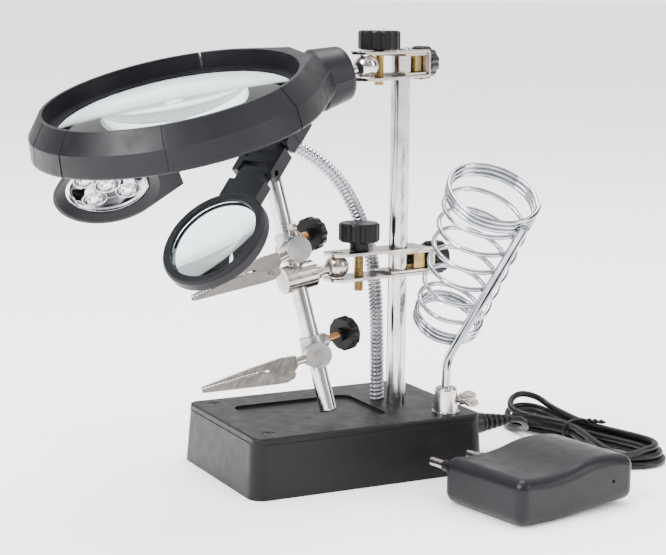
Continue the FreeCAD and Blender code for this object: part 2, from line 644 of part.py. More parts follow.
def build_small_lens():
    lens, frame_radius = size("small_lens_radius"), size("small_frame_radius")
    height = size("small_frame_height")
    mount = fuse(box(9, 18, 7, (-7.2, 0, -3.5)), box(12, 14, 6, (-13, 0, -1.5)))
    mount = cut(mount, cylinder(3.6, 12.0, (0, -6.0, 0), Y_AXIS))
    ears = []
    for side in (-1, 1):
        ears.append(box(6.4, 2.6, 6.4, (-1.2, side * 7.4, -3.2)))
        ears.append(cylinder(3.2, 2.6, (0, side * 7.4 - 1.3, 0), Y_AXIS))
    pin = cylinder(size("hinge_pin_radius") - 0.05, 17, (0, -8.5, 0), Y_AXIS)
    node("swing_mount", cut(fuse(mount, pin, *ears), ring_space()), SMALL)

    pin = size("hinge_pin_radius")
    knuckle = cylinder(3.2, 11.4, (0, -5.7, 0), Y_AXIS)
    web = box(11, 11.4, 5.0, (6.5, 0, -2.5))
    block = box(11.6, 18.4, 5.6, (10.2, 0, -2.8))
    recess = box(3.6, 12.6, 1.0, (8.2, 0, 2.2))
    fork = box(8.0, 12.6, 10, (SWIVEL_REACH + 1.4, 0, -5))
    pin_holes = [cylinder(pin, 30, (x, -15, 0), Y_AXIS) for x in (0, SWIVEL_REACH)]
    link = cut(fuse(knuckle, web, block), recess, fork, *pin_holes)
    node("swing_link", link, SMALL)

    rim = turned([(lens + 0.1, 0), (frame_radius - 0.8, 0), (frame_radius, 0.8),
                  (frame_radius, height - 0.8), (frame_radius - 0.8, height), (lens + 0.1, height)])
    placed(rim, (SMALL_LENS_REACH, 0, -height / 2))
    lip = turned([(lens - 0.9, 0), (lens + 1, 0), (lens + 1, 0.7), (lens - 0.9, 0.7)])
    placed(lip, (SMALL_LENS_REACH, 0, -height / 2))
    tongue = box(14, 12.0, 4.4, (SWIVEL_REACH + 7, 0, -2.2))
    shoulder = box(8, 17, 4.4, (SMALL_LENS_REACH - 22.5, 0, -2.2))
    knuckle = cylinder(2.2, 12.0, (SWIVEL_REACH, -6.0, 0), Y_AXIS)
    clear = cylinder(lens + 0.1, 30, (SMALL_LENS_REACH, 0, -height / 2 + 0.7))
    rest = cylinder(lens - 0.9, 30, (SMALL_LENS_REACH, 0, -15))
    pin_hole = cylinder(pin, 30, (SWIVEL_REACH, -15, 0), Y_AXIS)
    arm = cut(fuse(tongue, shoulder, knuckle), clear, rest, pin_hole)
    node("small_frame", fuse(rim, lip, arm), SMALL)

    crown_height = 1.6
    bulge = (float(lens) ** 2 + crown_height ** 2) / (2 * crown_height)
    offset = bulge - crown_height - 0.8
    centre = float(SMALL_LENS_REACH)
    glass = common(cylinder(lens, 12, (centre, 0, -6)), ball(bulge, (centre, 0, -offset)),
                   ball(bulge, (centre, 0, offset)))
    node("small_lens", glass, SMALL.multiply(frame_at((0, 0, 0.3))))


def ring_space():
    """The space taken by the magnifier's ring, in the small lens's frame."""
    blank = cylinder(120, 60, (0, 0, -float(size("ring_height")) - 0.02))
    blank.Placement = SMALL.inverse().multiply(MAGNIFIER).multiply(blank.Placement)
    return blank


build_small_lens()

# ---------------------------------------------------------------- gooseneck and lamp

LAMP = Placement(Vector(-97, 0, 118), Rotation(-24.8, -15.3, -39.8))
COLLAR_RISE, REFLECTOR_RISE = 7.0, 1.5


def rounded_path(points, label):
    """Straight runs joined by tangent arcs as large as the two runs at each point allow."""
    corners = [Vector(*p) for p in points]
    edges, radii = [], []
    start = corners[0]
    for before, here, after in zip(corners, corners[1:], corners[2:]):
        towards, onward = (before - here), (after - here)
        trim = 0.45 * min(towards.Length, onward.Length)
        turn = math.pi - towards.getAngle(onward)
        radii.append(trim / math.tan(turn / 2))
        first = here + towards.normalize() * trim
        last = here + onward.normalize() * trim
        middle_way = (towards + onward).normalize()
        depth = radii[-1] / math.cos(turn / 2) - radii[-1]
        edges.append(Part.LineSegment(start, first).toShape())
        edges.append(Part.Arc(first, here + middle_way * depth, last).toShape())
        start = last
    edges.append(Part.LineSegment(start, corners[-1]).toShape())
    path = Part.Wire(edges)
    print(f"{label}: length {path.Length:.1f}, radii", " ".join(f"{r:.0f}" for r in radii))
    return path


def tube(points, radius, label):
    """A round tube along a rounded path, with its volume checked."""
    path = rounded_path(points, label)
    ahead = Vector(*points[1]) - Vector(*points[0])
    section = Part.Wire(Part.Circle(Vector(*points[0]), ahead, float(radius)).toShape())
    solid = path.makePipeShell([section], True, False)
    expected = math.pi * float(radius) ** 2 * path.Length
    if abs(solid.Volume / expected - 1) > 0.02:
        raise RuntimeError(f"{label} has volume {solid.Volume:.1f}, expected {expected:.1f}")
    return solid


GOOSENECK_ROUTE = [
    (24.4, 7.0, 14.0), (24.2, 7.0, 50.0), (21.6, 7.0, 84.0), (15.5, 7.0, 101.0), (5.5, 6.0, 117.5),
    (-7.0, 6.0, 128.0), (-21.0, 7.0, 135.0), (-35.5, 0.0, 139.0),
]


def hexagon_nut(across, height, bore, at):
    """A nut drawn up under the top cover."""
    under_cover = float(size("base_height") - size("cover_thickness")) - height
    nut = bind(doc.addObject("Part::Prism", "Hexagon"), Circumradius=across, Height=height)
    return placed(cut(nut, cylinder(bore, 9, (0, 0, -3))), at + (under_cover,))


def build_lamp():
    last = LAMP.multVec(Vector(50, 0, COLLAR_RISE))
    end = LAMP.multVec(Vector(37.2, 0, COLLAR_RISE))
    route = GOOSENECK_ROUTE + [tuple(last), tuple(end)]
    node("gooseneck", drawn("Gooseneck", tube(route, size("gooseneck_radius"), "gooseneck")))
    foot = hexagon_nut(4.7, 3.0, size("gooseneck_radius") + 0.1, (GOOSENECK_FOOT.x, GOOSENECK_FOOT.y))
    socket = hexagon_nut(5.4, 2.6, size("socket_radius") * 0.5 - 0.05, (SOCKET_X, SOCKET_Y))
    node("fixing_nuts", group(foot, socket))

    radius, depth = size("shade_radius"), size("shade_depth")
    outside = egg_body(radius, 28, 7.5, depth, 32)
    fillet_body(outside, 4.0, level_at(depth))
    reach = size("reflector_radius")
    hollow = cylinder(reach + 1.2, 10.7, (0, 0, -1))
    flare = cone(radius - 1.2, reach + 1.2, 1.6, (0, 0, -0.05))
    collar = cone(6.0, 4.4, 20, (20, 0, COLLAR_RISE), X_AXIS)
    bore = cylinder(size("gooseneck_radius") + 0.06, 10, (37, 0, COLLAR_RISE), X_AXIS)
    node("lamp_shade", cut(fuse(outside, collar), hollow, flare, bore), LAMP)

    inside = LAMP.multiply(frame_at((0, 0, REFLECTOR_RISE)))
    bezel = turned([(reach, 0), (reach + 1.1, 0.4), (reach + 1.1, 3.0), (reach, 3.0)])
    floor = cylinder(reach + 0.5, 1.2, (0, 0, 5.6))
    wall = cut(cylinder(reach + 0.5, 5.6, (0, 0, 1.2)), cylinder(reach - 0.6, 9, (0, 0, 0)))
    cups = []
    for x, y in LED_PLACES:
        cup = cut(cone(4.9, 3.0, 4.4, (x, y, 1.6)), cone(4.6, 2.7, 5.0, (x, y, 1.3)))
        cups.append(cup)
    node("lamp_reflector", fuse(bezel, floor, wall, *cups), inside)
    leds = []
    for x, y in LED_PLACES:
        leds.append(fuse(cylinder(size("led_radius"), 2.6, (x, y, 2.95)),
                         ball(size("led_radius"), (x, y, 3.0))))
    node("lamp_leds", group(*leds), inside)


LED_PLACES = [(0.0, 0.0)] + [(9.4 * math.cos(math.radians(45 + 90 * i)),
                              9.4 * math.sin(math.radians(45 + 90 * i))) for i in range(4)]
build_lamp()

# ---------------------------------------------------------------- iron holder

COIL = Placement(Vector(43.0, -16.9, 59.3), Rotation(-30.0, 16.2, 30.2))
SUPPORT_TOP = COIL.multVec(Vector(14.2, -15.2, 70.0))
SUPPORT_LOW = COIL.multVec(Vector(5.5, -15.2, 3.0))
CLOSE_TURNS, CLOSE_PITCH, OPEN_TURNS, COIL_STEPS = 3, 2.1, 6, 16


def build_iron_holder():
    bottom, top = float(size("coil_bottom_radius")), float(size("coil_top_radius"))
    length = float(size("coil_length"))
    turns = 2 * CLOSE_TURNS + OPEN_TURNS
    points = []
    for step in range(turns * COIL_STEPS + 1):
        turn = step / COIL_STEPS
        close = min(turn, CLOSE_TURNS) + max(0.0, turn - CLOSE_TURNS - OPEN_TURNS)
        stretch = (length - 2 * CLOSE_TURNS * CLOSE_PITCH) / OPEN_TURNS
        height = close * CLOSE_PITCH + (turn - close) * stretch
        radius = bottom + (top - bottom) * height / length
        angle = 2 * math.pi * turn
        points.append(Vector(radius * math.cos(angle), radius * math.sin(angle), height))
    line = Part.BSplineCurve()
    line.interpolate(points)
    section = Part.Circle(points[0], line.tangent(line.FirstParameter)[0], float(size("coil_wire_radius")))
    wire = Part.Wire(line.toShape()).makePipeShell([Part.Wire(section.toShape())], True, True)
    node("iron_coil", drawn("Winding", wire), COIL)

    foot = (SOCKET_X, SOCKET_Y)
    route = [foot + (27.0,), foot + (46.0,), tuple(SUPPORT_LOW), tuple(SUPPORT_TOP)]
    node("iron_support", drawn("Support", tube(route, size("support_radius"), "iron support")))

    low, high, rise = size("socket_radius"), size("socket_top_radius"), size("socket_height")
    bell = rounded(cone(low, high, rise), 1.4, level_at(rise))
    barrel = fuse(cylinder(low + 0.5, 1.0), bell,
                  cylinder(low * 0.5 - 0.1, 8, (0, 0, -6)))
    bore = cylinder(size("support_radius") + size("running_clearance"), 30, (0, 0, 2.4))
    side_bore = cylinder(1.66, 12, (0, 0, WING_RISE), WING_WAY)
    node("iron_socket", cut(barrel, bore, side_bore), frame_at(foot + (size("base_height"),)))

    wing_frame = frame_at(foot + (float(size("base_height")) + WING_RISE,), Rotation(Z_AXIS, WING_WAY))
    screw = wing_screw(1.6, float(size("support_radius")) + 0.3, float(low) + 0.7, 5.2)
    node("holder_wing_screw", screw, wing_frame)


def wing_screw(radius, tip, seat, reach):
    """A thumb screw along Z: its tip and the underside of its hub are heights from the origin."""
    shank = placed(threaded_rod(radius, seat - tip + 0.4, 0.6, 0.15), (0, 0, tip))
    hub = cone(radius + 0.9, radius + 0.5, 2.4, (0, 0, seat))
    lobes = []
    radius_of_lobe = reach * 0.55
    for side in (-1, 1):
        across = side * (reach - radius_of_lobe)
        rise = seat + 2.2 + radius_of_lobe * 0.75
        lobes.append(cylinder(radius_of_lobe, 1.3, (-0.65, across, rise), X_AXIS))
        lobes.append(cylinder(radius_of_lobe * 0.62, 1.9, (-0.95, across, rise), X_AXIS))
    notch = cylinder(reach * 0.3, 4, (-2, 0, seat + 2.2 + radius_of_lobe * 1.75), X_AXIS)
    return cut(fuse(shank, hub, *lobes), notch)


WING_RISE = 5.6
WING_WAY = Vector(math.cos(math.radians(-20)), math.sin(math.radians(-20)), 0)
build_iron_holder()

# ---------------------------------------------------------------- cross rod, blocks and clips

BLOCKS = {
    "upper": ROD.multiply(frame_at((0, 0, 10.9), Rotation(-4, 0, 0))),
    "lower": ROD.multiply(frame_at((0, 0, -31.6), Rotation(-18, 0, 0))),
}
BLOCK_FRONT = 10.0
CLIP_LANE, CLIP_STEM, SCREW_RISE = 7.4, 1.6, 4.2
CLIP_DIP = {"upper": 9.6, "lower": 2.0}
KNOB_WAY = 216.5
PIVOT_X, PIVOT_Z = 15.0, -4.0


def build_rod():
    stud, block = size("clamp_screw_radius"), size("block_radius")
    body = fuse(ball(size("ball_radius")), cylinder(stud, 13, (0, 0, 0), X_AXIS),
                cylinder(3.0, 1.6, (8.6, 0, 0), X_AXIS),
                cylinder(block - 0.1, 14, (11.5, 0, 0), X_AXIS))
    bore = cylinder(size("rod_radius") + size("running_clearance"), 30, (ROD_REACH, 0, -15))
    node("lower_ball_stud", cut(body, bore), STUD)
    rod = cylinder(size("rod_radius"), 102, (0, 0, -55))
    node("cross_rod", rounded(rod, 0.8, lambda e: e.Length < 30 and not upright(e)), ROD)


def build_block(side):
    """A sliding block on the cross rod, with its knob and screw."""
    frame = BLOCKS[side]
    rod_hole = size("rod_radius") + size("running_clearance")
    block = size("block_radius") - 0.5
    sleeve = cylinder(block - 0.2, 11.0, (0, 0, -3.6))
    front = cylinder(block, BLOCK_FRONT + 3.5, (0, -3.5, 0), Y_AXIS)
    way = Vector(math.cos(math.radians(KNOB_WAY)), math.sin(math.radians(KNOB_WAY)), 0)
    lug = cylinder(3.0, 7.2, (0, 0, SCREW_RISE), way)
    bores = [cylinder(rod_hole, 30, (0, 0, -15)),
             cylinder(size("small_screw_radius") + 0.12, 20, (0, 0, SCREW_RISE), way),
             placed(cylinder(CLIP_STEM + size("running_clearance"), 9), (0, CLIP_LANE, 0),
                    turn=Rotation(Y_AXIS, 90 + CLIP_DIP[side]))]
    if side == "upper":
        bores.append(cylinder(1.36, 9, (0, CLIP_LANE, 0)))
        screw = wing_screw(1.3, CLIP_STEM + 0.1, float(block) + 0.4, 3.3)
        node("clip_wing_screw", screw, frame.multiply(frame_at((0, CLIP_LANE, 0))))
    node(f"{side}_block", cut(fuse(sleeve, front, lug), *bores), frame)

    knob_frame = frame.multiply(frame_at((0, 0, SCREW_RISE), Rotation(Z_AXIS, way)))
    start = float(size("rod_radius")) + 0.3
    screw = placed(threaded_rod(size("small_screw_radius"), 17.0, 0.6, 0.15), (0, 0, start))
    node(f"{side}_block_screw", screw, knob_frame)
    knob = scalloped_knob(size("small_knob_radius"), size("small_knob_height"), 12, 1.2)
    placed(knob, (0, 0, 17.6))
    hub = cylinder(2.6, 2.4, (0, 0, 15.4))
    pocket = cylinder(size("small_screw_radius"), start + 17.0 - 14, (0, 0, 14))
    node(f"{side}_block_knob", cut(fuse(knob, hub), pocket), knob_frame)


def teeth(start, end, level, step=1.3, depth=0.5):
    """Saw teeth along a jaw's closing edge, as corners from start to end."""
    count = int(abs(end - start) / step)
    way = (end - start) / count
    corners = []
    for index in range(count):
        corners.append((start + way * index, level))
        corners.append((start + way * (index + 0.5), level + depth))
    return corners + [(end, level)]


def sheet_jaw(outline, hollow, half_width_rear, half_width_tip, wall):
    """A jaw pressed from sheet: a tapering channel with a side outline and a hollow."""
    rear, tip = 6.0, 50.0
    plan = extruded([(rear, -half_width_rear), (tip, -half_width_tip), (tip, half_width_tip),
                     (rear, half_width_rear)], 30)
    placed(plan, (0, 0, -15))
    inner = extruded([(rear - 1, wall - half_width_rear), (tip + 1, wall - half_width_tip),
                      (tip + 1, half_width_tip - wall), (rear - 1, half_width_rear - wall)], 30)
    placed(inner, (0, 0, -15))
    side = extruded(outline, 12, plane="XZ_Plane", centred=True)
    space = extruded(hollow, 12, plane="XZ_Plane", centred=True)
    return cut(common(side, plan), common(space, inner))


def build_clip(side):
    """An alligator clip: X runs from its stem to the tip, the jaws close on z = 0."""
    frame = BLOCKS[side].multiply(frame_at((0, CLIP_LANE, 0), Rotation(Y_AXIS, CLIP_DIP[side])))
    wall = size("sheet_thickness")
    half = size("clip_width") / 2
    gap = 0.12
    fixed_outline = ([(48, gap), (48, 1.0), (27, 2.7), (15, 3.2), (9, 2.4), (9, -1.6), (12, -4.4),
                      (13.5, -5.4), (16.5, -5.4), (18, -4.4), (21, gap)]
                     + teeth(25.0, 47.0, gap, depth=0.45)[:-1])
    fixed_hollow = [(50, -7), (50, 0.4), (27, 2.0), (15, 2.5), (9.8, 1.9), (9.8, -7)]
    fixed = sheet_jaw(fixed_outline, fixed_hollow, half - 0.8, 1.5, wall)
    stem = cylinder(CLIP_STEM, 8.6, (1.4, 0, 0), X_AXIS)
    pin_hole = cylinder(0.82, 12, (PIVOT_X, -6, PIVOT_Z), Y_AXIS)
    eyes = [cylinder(0.9, 5, (x, 0, 0.6)) for x in (11.2, 14.4)]
    node(f"{side}_clip_fixed_jaw", cut(fuse(fixed, stem), pin_hole, *eyes), frame)

    moving_outline = ([(48, -gap), (26.3, -gap)]
                      + [(x, z - gap) for x, z in ((22.0, -0.3), (18.2, -2.0), (12.0, -2.4),
                                                   (10.6, -4.0), (11.8, -5.8), (15.0, -6.6),
                                                   (19.0, -6.2))]
                      + [(48, -1.4)])
    moving_hollow = [(50, 3), (50, -0.8), (19, -5.5), (15.6, -5.9), (15.6, -9), (8, -9), (8, 3)]
    moving = sheet_jaw(moving_outline, moving_hollow, half + 0.1, 1.6, wall)
    node(f"{side}_clip_moving_jaw", cut(moving, drawn_again(pin_hole)), frame)

    pin = fuse(cylinder(0.76, 7.4, (PIVOT_X, -3.7, PIVOT_Z), Y_AXIS),
               cylinder(1.35, 0.5, (PIVOT_X, -3.7, PIVOT_Z), Y_AXIS),
               cylinder(1.35, 0.5, (PIVOT_X, 3.2, PIVOT_Z), Y_AXIS))
    helix = Part.makeHelix(0.62, 2.48, 1.25)
    section = Part.Circle(Vector(1.25, 0, 0), Y_AXIS, 0.24).toShape()
    spring = drawn("Spring", Part.Wire(helix.Edges).makePipeShell([Part.Wire(section)], True, True))
    placed(spring, (PIVOT_X, -1.24, PIVOT_Z), Y_AXIS)
    node(f"{side}_clip_pin_and_spring", group(pin, spring), frame)


build_rod()
for block_side in BLOCKS:
    build_block(block_side)
    build_clip(block_side)

# ---------------------------------------------------------------- power supply and cord

ADAPTER = Placement(Vector(46.5, -83.1, 0), Rotation(10, 0, 0))
PLUG_END = 80.0
CORD_TO_HANK = [(80.0, -10.0, 13.0), (85.2, -9.9, 12.8), (90.6, -7.2, 9.6), (96.0, -1.6, 6.6),
                (101.4, 4.6, 5.4)]
CORD_FROM_HANK = [(104.6, -56.6, 5.0), (99.0, -59.4, 7.6), (93.0, -60.8, 10.2), (87.0, -61.7, 10.5)]
TIE_POINT = Vector(115.0, -12.0, 0)
HANK_LOBES = [(Vector(110.0, 16.0, 0), 14.0), (Vector(116.0, -48.0, 0), 17.0)]
HANK_HEIGHT, HANK_WAIST = 11.0, 6.0


def arc(start, middle, end):
    """An arc in the XZ plane through three points."""
    return Part.Arc(*[Vector(x, 0, z) for x, z in (start, middle, end)]).toShape()


def build_power_supply():
    length, width = float(size("adapter_length")), float(size("adapter_width"))
    height, wave = float(size("adapter_height")), float(size("adapter_wave"))
    left, right = -length / 2, length / 2
    top = height - wave
    crest = top + wave * 0.3
    edges = [
        Part.LineSegment(Vector(left, 0, 1.2), Vector(left, 0, top + 0.6)).toShape(),
        arc((left, top + 0.6), (left / 2, top - wave * 0.4), (0, crest)),
        arc((0, crest), (right * 0.55, height), (right, top)),
        Part.LineSegment(Vector(right, 0, top), Vector(right, 0, 2.0)).toShape(),
        arc((right, 2.0), (right * 0.55, 1.6), (0, 0.4)),
        arc((0, 0.4), (left / 2, 0.0), (left, 1.2)),
    ]
    profile = Part.Face(Part.Wire(edges))
    slab = profile.extrude(Vector(0, width, 0))
    slab.translate(Vector(0, -width / 2, 0))
    case = rounded(drawn("AdapterBlock", slab), 4.2, lambda e: True)
    wall = width / 2
    shroud = size("plug_shroud_length")
    sleeves = []
    sockets = []
    pins = []
    for x in PIN_PLACES:
        sleeves.append(cone(3.6, 3.2, shroud * 0.5, (x, wall - 1.5, PIN_LEVEL), Y_AXIS))
        sleeves.append(cylinder(size("plug_pin_radius") + 0.5, shroud, (x, wall - 1, PIN_LEVEL), Y_AXIS))
        sockets.append(cylinder(size("plug_pin_radius") + 0.01, 30, (x, wall - 5, PIN_LEVEL), Y_AXIS))
        metal = size("plug_pin_length") + 5
        tip = (x, wall + float(size("plug_pin_length")), PIN_LEVEL)
        pins.append(fuse(cylinder(size("plug_pin_radius"), metal, (x, wall - 5, PIN_LEVEL), Y_AXIS),
                         ball(size("plug_pin_radius"), tip)))
    cord_hole = cylinder(2.65, 6, (right - 5, 14, 10.5), X_AXIS)
    dimple = cylinder(0.7, 2, (right - 12, -width / 2 - 0.5, 11), Y_AXIS)
    node("adapter_case", cut(fuse(case, *sleeves), cord_hole, dimple, *sockets), ADAPTER)
    node("adapter_pins", group(*pins), ADAPTER)
    relief = fuse(cylinder(2.6, 5, (right - 5, 14, 10.5), X_AXIS),
                  cone(3.4, 1.9, 13.0, (right, 14, 10.5), X_AXIS))
    node("adapter_strain_relief", relief, ADAPTER)

    ribs = [(0, 0), (2.7, 0), (2.7, 9.6), (4.5, 9.6), (4.5, 22.0)]
    for index in range(5):
        start = 22.8 + index * 2.8
        radius = 4.1 - index * 0.42
        ribs += [(radius - 0.9, start - 0.8), (radius, start),
                 (radius, start + 1.2), (radius - 0.9, start + 1.8)]
    ribs += [(2.1, PLUG_END - 43.2), (0, PLUG_END - 43.2)]
    plug = cut(turned(ribs), cylinder(0.75, 9.5, (0, 0, -0.2)))
    node("dc_plug", plug, frame_at((43.2, JACK_Y, JACK_Z), Rotation(Z_AXIS, X_AXIS)))

    lead = drawn("LeadIn", tube(CORD_TO_HANK, size("cord_radius"), "cord to hank"))
    tail = drawn("LeadOut", tube(CORD_FROM_HANK, size("cord_radius"), "cord from hank"))
    lobes = []
    for centre, radius in HANK_LOBES:
        way = TIE_POINT - centre
        lobe = egg_body(radius, way.Length + 2, HANK_WAIST, HANK_HEIGHT, 12)
        fillet_body(lobe, 1.5, level_at(HANK_HEIGHT))
        lobes.append(placed(lobe, (centre.x, centre.y, 0.02), turn=Rotation(X_AXIS, way)))
    hank = fuse(*lobes)
    node("cord_hank", hank)
    node("cord_lead", cut(group(lead, tail), drawn_again(hank)))


PIN_PLACES, PIN_LEVEL = (-23.4, -4.4), 12.5
build_power_supply()

# ---------------------------------------------------------------- export

doc.recompute()
for obj in doc.Objects:
    broken = {"Invalid", "Error"} & set(obj.State)
    if broken:
        raise RuntimeError(f"{obj.Name} ({obj.Label}) is {', '.join(sorted(broken))}")
os.makedirs("parts", exist_ok=True)
for part in NODES:
    if part.Shape.isNull() or not part.Shape.isValid():
        raise RuntimeError(f"{part.Label} has no valid shape")
    part.Shape.exportStep(f"parts/{part.Label}.step")
    print(f"{part.Label:22s} {len(part.Shape.Solids)} solids, {part.Shape.Volume:10.1f} mm3")
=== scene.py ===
import math
import random

import bpy
from mathutils import Matrix, Vector


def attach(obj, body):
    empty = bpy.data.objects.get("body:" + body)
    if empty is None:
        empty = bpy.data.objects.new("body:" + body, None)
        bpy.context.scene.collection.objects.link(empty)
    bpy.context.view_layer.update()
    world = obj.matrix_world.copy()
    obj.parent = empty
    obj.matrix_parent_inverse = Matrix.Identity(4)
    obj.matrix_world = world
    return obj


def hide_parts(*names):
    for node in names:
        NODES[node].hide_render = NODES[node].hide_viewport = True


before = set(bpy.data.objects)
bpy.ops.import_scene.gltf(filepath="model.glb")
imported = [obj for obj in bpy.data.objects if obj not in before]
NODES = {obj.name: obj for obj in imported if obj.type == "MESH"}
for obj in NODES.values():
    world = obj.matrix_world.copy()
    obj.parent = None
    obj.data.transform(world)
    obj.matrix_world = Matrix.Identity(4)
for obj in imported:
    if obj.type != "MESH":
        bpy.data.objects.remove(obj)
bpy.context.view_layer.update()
random.seed(7)

MM = 0.001


def mm(*point):
    """A point given in millimetres, in metres."""
    return Vector(point) * MM


# ---------------------------------------------------------------- camera

CAMERA_AT = mm(-313.7, -607.2, 192.3)
CAMERA_AZIMUTH, CAMERA_PITCH, CAMERA_ROLL = -27.261, 9.437, 0.638
LENS_MM = 91.6


def make_camera():
    azimuth, pitch, roll = (math.radians(a) for a in (CAMERA_AZIMUTH, CAMERA_PITCH, CAMERA_ROLL))
    level = math.cos(pitch)
    back = Vector((math.sin(azimuth) * level, -math.cos(azimuth) * level, math.sin(pitch)))
    level_right = (-back).cross(Vector((0, 0, 1))).normalized()
    level_up = level_right.cross(-back)
    right = math.cos(roll) * level_right + math.sin(roll) * level_up
    up = -math.sin(roll) * level_right + math.cos(roll) * level_up
    data = bpy.data.cameras.new("Camera")
    data.lens = LENS_MM
    data.sensor_width = 36.0
    data.clip_start = 0.01
    camera = bpy.data.objects.new("Camera", data)
    camera.matrix_world = Matrix((right, up, back)).transposed().to_4x4()
    camera.matrix_world.translation = CAMERA_AT
    bpy.context.scene.collection.objects.link(camera)
    bpy.context.scene.camera = camera


make_camera()

# ---------------------------------------------------------------- materials


EDGE_RADIUS = 0.25 * MM


class Shader:
    """A procedural material: a Principled shader and the nodes that drive it."""

    def __init__(self, name, color, roughness, metallic=0.0):
        self.material = bpy.data.materials.new(name)
        self.material.use_nodes = True
        self.tree = self.material.node_tree
        self.shader = self.tree.nodes["Principled BSDF"]
        self.color = color
        self.shader.inputs["Base Color"].default_value = (*color, 1)
        self.shader.inputs["Roughness"].default_value = roughness
        self.shader.inputs["Metallic"].default_value = metallic
        self.place = self.tree.nodes.new("ShaderNodeTexCoord").outputs["Object"]
        softened = self.tree.nodes.new("ShaderNodeBevel")
        softened.samples = 4
        softened.inputs["Radius"].default_value = EDGE_RADIUS
        self.softened = softened.outputs["Normal"]
        self.height = self.softened
        self.tree.links.new(self.height, self.shader.inputs["Normal"])

    def noise(self, scale, detail=4.0, stretch=None):
        """Noise in the piece's own space; scale is in features per metre."""
        texture = self.tree.nodes.new("ShaderNodeTexNoise")
        texture.inputs["Scale"].default_value = scale
        texture.inputs["Detail"].default_value = detail
        source = self.place
        if stretch is not None:
            mapping = self.tree.nodes.new("ShaderNodeMapping")
            mapping.inputs["Scale"].default_value = stretch
            self.tree.links.new(source, mapping.inputs["Vector"])
            source = mapping.outputs["Vector"]
        self.tree.links.new(source, texture.inputs["Vector"])
        return texture.outputs["Fac"]

    def ramp(self, source, low, high, start=0.3, end=0.7):
        """A value or colour that runs from low to high as the source does from start to end."""
        ramp = self.tree.nodes.new("ShaderNodeValToRGB")
        ramp.color_ramp.elements[0].position = start
        ramp.color_ramp.elements[1].position = end
        for element, value in zip(ramp.color_ramp.elements, (low, high)):
            element.color = (*value, 1) if isinstance(value, tuple) else (value, value, value, 1)
        self.tree.links.new(source, ramp.inputs["Fac"])
        return ramp.outputs["Color"]

    def drive(self, socket, source):
        self.tree.links.new(source, self.shader.inputs[socket])

    def bump(self, source, depth, strength=1.0):
        """Relief of a depth in metres, added to any relief already there."""
        bump = self.tree.nodes.new("ShaderNodeBump")
        bump.inputs["Distance"].default_value = depth
        bump.inputs["Strength"].default_value = strength
        self.tree.links.new(source, bump.inputs["Height"])
        self.tree.links.new(self.height, bump.inputs["Normal"])
        self.height = bump.outputs["Normal"]
        self.tree.links.new(self.height, self.shader.inputs["Normal"])

    def edge_highlight(self, color, amount):
        """A painted highlight: a paler colour where an edge is sharp, broken up by noise."""
        geometry = self.tree.nodes.new("ShaderNodeNewGeometry")
        agreement = self.tree.nodes.new("ShaderNodeVectorMath")
        agreement.operation = "DOT_PRODUCT"
        self.tree.links.new(self.softened, agreement.inputs[0])
        self.tree.links.new(geometry.outputs["Normal"], agreement.inputs[1])
        # mask of the sharp edges that get the painted highlight
        edges = self.ramp(agreement.outputs["Value"], 1.0, 0.0, 0.90, 0.985)
        broken = self.mixed("MULTIPLY", edges, self.ramp(self.noise(900), 0.0, amount))
        blend = self.tree.nodes.new("ShaderNodeMix")
        blend.data_type = "RGBA"
        self.tree.links.new(broken, blend.inputs["Factor"])
        self.tree.links.new(self.shader.inputs["Base Color"].links[0].from_socket, blend.inputs["A"])
        blend.inputs["B"].default_value = (*color, 1)
        self.drive("Base Color", blend.outputs["Result"])

    def mixed(self, kind, first, second):
        """Two values combined by a blend of the given kind."""
        made = self.tree.nodes.new("ShaderNodeMix")
        made.data_type = "RGBA"
        made.blend_type = kind
        made.inputs["Factor"].default_value = 1.0
        self.tree.links.new(first, made.inputs["A"])
        self.tree.links.new(second, made.inputs["B"])
        return made.outputs["Result"]


def shade(color, factor):
    return tuple(min(1.0, c * factor) for c in color)


def moulded_plastic(name, color, roughness, grain, depth, specular=0.5):
    """Injection-moulded plastic: spark-eroded grain, faint mottling and a painted highlight along its
    sharp edges.
    """
    look = Shader(name, color, roughness)
    look.drive("Base Color", look.ramp(look.noise(38, 3), shade(color, 0.85), shade(color, 1.2)))
    look.drive("Roughness", look.ramp(look.noise(190, 6), roughness - 0.06, roughness + 0.08))
    look.bump(look.noise(grain, 6), depth, 0.8)
    look.bump(look.noise(60, 2), 0.00003, 0.15)
    look.shader.inputs["Specular IOR Level"].default_value = specular
    # paler sharp edges: a painted edge highlight
    look.edge_highlight(shade(color, 7.0), 0.6)
    return look.material


def plated_metal(name, color, roughness, streak=(1, 1, 1), cloud=0.06, stain=0.6):
    """Plated metal: cloudy sheen, fine polishing streaks, dull stains and a few scratches."""
    look = Shader(name, color, roughness, 1.0)
    stained = look.ramp(look.noise(90, 5), shade(color, stain), shade(color, 1.05), 0.25, 0.55)
    look.drive("Base Color", stained)
    look.drive("Roughness", look.ramp(look.noise(240, 6, streak), roughness, roughness + cloud * 2))
    look.bump(look.noise(1400, 3, streak), 0.00002, 0.5)
    look.bump(look.noise(150, 2), 0.00008, 0.4)
    return look.material


def clear_glass(name, color, roughness=0.0, ior=1.5):
    """Clear glass or resin with faint smears in its polish."""
    look = Shader(name, color, roughness)
    look.shader.inputs["Transmission Weight"].default_value = 1.0
    look.shader.inputs["IOR"].default_value = ior
    look.drive("Base Color", look.ramp(look.noise(25, 3), shade(color, 0.94), color))
    look.drive("Roughness", look.ramp(look.noise(60, 5), roughness, roughness + 0.03, 0.45, 0.8))
    return look.material


def rubber(name, color, roughness):
    """Soft plastic or rubber with a dull, slightly dusty skin."""
    look = Shader(name, color, roughness)
    look.drive("Base Color", look.ramp(look.noise(90, 4), shade(color, 0.8), shade(color, 1.5)))
    look.drive("Roughness", look.ramp(look.noise(300, 4), roughness - 0.08, roughness + 0.12))
    look.bump(look.noise(2200, 4), 0.00004, 0.5)
    look.shader.inputs["Specular IOR Level"].default_value = 0.25
    return look.material


